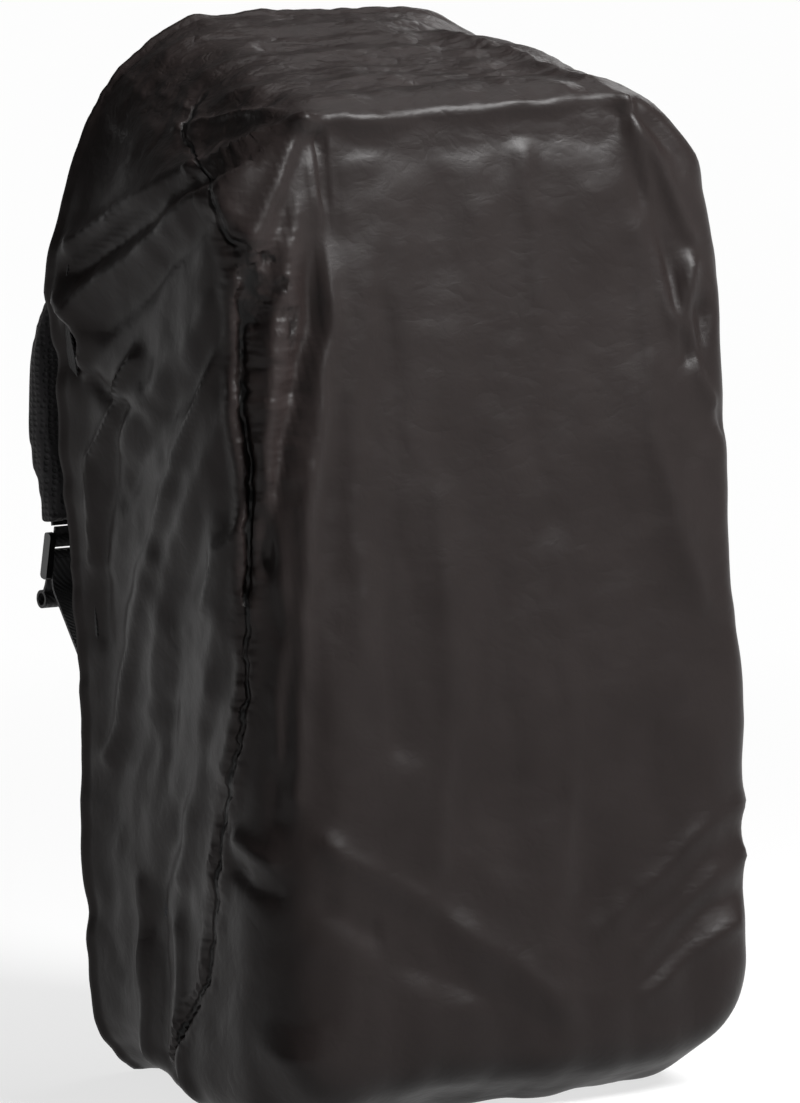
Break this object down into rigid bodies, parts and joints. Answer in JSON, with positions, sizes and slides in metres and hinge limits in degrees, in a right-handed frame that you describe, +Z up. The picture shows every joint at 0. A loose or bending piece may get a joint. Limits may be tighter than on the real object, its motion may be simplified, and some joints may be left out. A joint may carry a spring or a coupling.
{
  "type": "backpack in rain cover",
  "caption": "Upright travel backpack wearing a fitted black nylon rain cover, with padded shoulder straps, sternum strap and grab handle at the back.",
  "frame": {"origin": "the middle of the base, on the floor the bag stands on: x in the middle of the bag's width, y 97 mm in front of the pack's back face", "axes": "+Z up; -Y the cover's front; +Y the wearer's side with the harness; +X to the right when looking at the cover's front"},
  "size_m": [0.3234, 0.2917, 0.5664],
  "materials": {
    "cover_nylon": "thin coated nylon taffeta, soft satin sheen",
    "elastic": "woven elastic band",
    "pack_nylon": "matt heavy nylon",
    "coated_boot": "thick coated fabric",
    "zip_tape": "coated zip tape and coil",
    "zip_metal": "black lacquered die casting",
    "webbing": "woven nylon webbing",
    "frame_plastic": "pressed plastic sheet",
    "stay_aluminium": "bare flat bar",
    "board_foam": "fabric-faced stiff foam",
    "air_mesh": "spacer mesh over foam",
    "acetal": "moulded acetal",
    "sleeve_rubber": "soft grip sleeve"
  },
  "bodies": {
    "pack": {"back_board": "board_foam", "back_pad_left": "air_mesh", "back_pad_right": "air_mesh", "base_boot": "coated_boot", "compression_straps_left": "webbing", "compression_straps_right": "webbing", "frame_sheet": "frame_plastic", "frame_stay_left": "stay_aluminium", "frame_stay_right": "stay_aluminium", "front_pocket": "pack_nylon", "front_pocket_zip": "zip_tape", "handle_anchor_left": "webbing", "handle_anchor_right": "webbing", "harness_yoke": "webbing", "lid_zip": "zip_tape", "lower_anchor_left": "webbing", "lower_anchor_right": "webbing", "lower_webbing_left": "webbing", "lower_webbing_right": "webbing", "lumbar_pad": "air_mesh", "main_compartment": "pack_nylon", "side_pocket_left": "pack_nylon", "side_pocket_right": "pack_nylon", "top_lid": "pack_nylon"},
    "rain_cover": {"cover_front_panel": "cover_nylon", "cover_gusset_bottom": "cover_nylon", "cover_gusset_left": "cover_nylon", "cover_gusset_right": "cover_nylon", "cover_gusset_top": "cover_nylon", "cover_hem": "cover_nylon", "hem_elastic": "elastic"},
    "zip_slider_left": {"zip_slider_left": "zip_metal"},
    "zip_slider_right": {"zip_slider_right": "zip_metal"},
    "zip_pull_left": {"zip_pull_left": "zip_metal"},
    "zip_pull_right": {"zip_pull_right": "zip_metal"},
    "harness": {"shoulder_strap_left": "air_mesh", "shoulder_strap_right": "air_mesh", "strap_webbing_left": "webbing", "strap_webbing_right": "webbing", "strap_tab_left": "webbing", "strap_tab_right": "webbing", "sternum_rail_left": "acetal", "sternum_rail_right": "acetal"},
    "lock_left": {"ladder_lock_left": "acetal", "webbing_tail_left": "webbing"},
    "lock_right": {"ladder_lock_right": "acetal", "webbing_tail_right": "webbing"},
    "sternum_strap": {"sternum_slider_left": "acetal", "sternum_slider_right": "acetal", "sternum_webbing_left": "webbing", "sternum_webbing_right": "webbing", "sternum_socket": "acetal", "sternum_plug": "acetal"},
    "arm_upper": {"buckle_arm_upper": "acetal"},
    "arm_lower": {"buckle_arm_lower": "acetal"},
    "handle": {"grab_handle": "webbing", "handle_sleeve": "sleeve_rubber"}
  },
  "joints": [
    {"name": "cover_off", "type": "slide", "parent": "pack", "child": "rain_cover", "axis": [0, -1, 0], "range_m": [0, 0.34]},
    {"name": "handle_flip", "type": "hinge", "parent": "pack", "child": "handle", "pos_m": [0, 0.1071, 0.533], "axis": [1, 0, 0], "range_deg": [0, 150]},
    {"name": "harness_swing", "type": "hinge", "parent": "pack", "child": "harness", "pos_m": [0, 0.1115, 0.472], "axis": [1, 0, 0], "range_deg": [0, 6], "deforming": ["lower_webbing_left", "lower_webbing_right"]},
    {"name": "sternum_height", "type": "slide", "parent": "harness", "child": "sternum_strap", "axis": [0, 0, 1], "range_m": [-0.017, 0.017]},
    {"name": "arm_upper_squeeze", "type": "hinge", "parent": "sternum_strap", "child": "arm_upper", "pos_m": [0, 0.1833, 0.3939], "axis": [0, 1, 0], "range_deg": [0, 8], "stiffness_Nm_per_rad": 0.1},
    {"name": "arm_lower_squeeze", "type": "hinge", "parent": "sternum_strap", "child": "arm_lower", "pos_m": [0, 0.1833, 0.3741], "axis": [0, -1, 0], "range_deg": [0, 8], "stiffness_Nm_per_rad": 0.1},
    {"name": "lock_left_tilt", "type": "hinge", "parent": "harness", "child": "lock_left", "pos_m": [-0.122, 0.16387, 0.2842], "axis": [-1, 0, 0], "range_deg": [0, 12], "deforming": ["lower_webbing_left"]},
    {"name": "zip_left_run", "type": "slide", "parent": "pack", "child": "zip_slider_left", "axis": [0, 0.0698, 0.9976], "range_m": [-0.13, 0.015]},
    {"name": "zip_pull_left_swing", "type": "hinge", "parent": "zip_slider_left", "child": "zip_pull_left", "pos_m": [-0.062, -0.07432, 0.24986], "axis": [-1, 0, 0], "range_deg": [0, 8]},
    {"name": "lock_right_tilt", "type": "hinge", "parent": "harness", "child": "lock_right", "pos_m": [0.122, 0.16387, 0.2842], "axis": [-1, 0, 0], "range_deg": [0, 12], "deforming": ["lower_webbing_right"]},
    {"name": "zip_right_run", "type": "slide", "parent": "pack", "child": "zip_slider_right", "axis": [0, 0.0698, 0.9976], "range_m": [-0.13, 0.015]},
    {"name": "zip_pull_right_swing", "type": "hinge", "parent": "zip_slider_right", "child": "zip_pull_right", "pos_m": [0.062, -0.07432, 0.24986], "axis": [-1, 0, 0], "range_deg": [0, 8]}
  ]
}
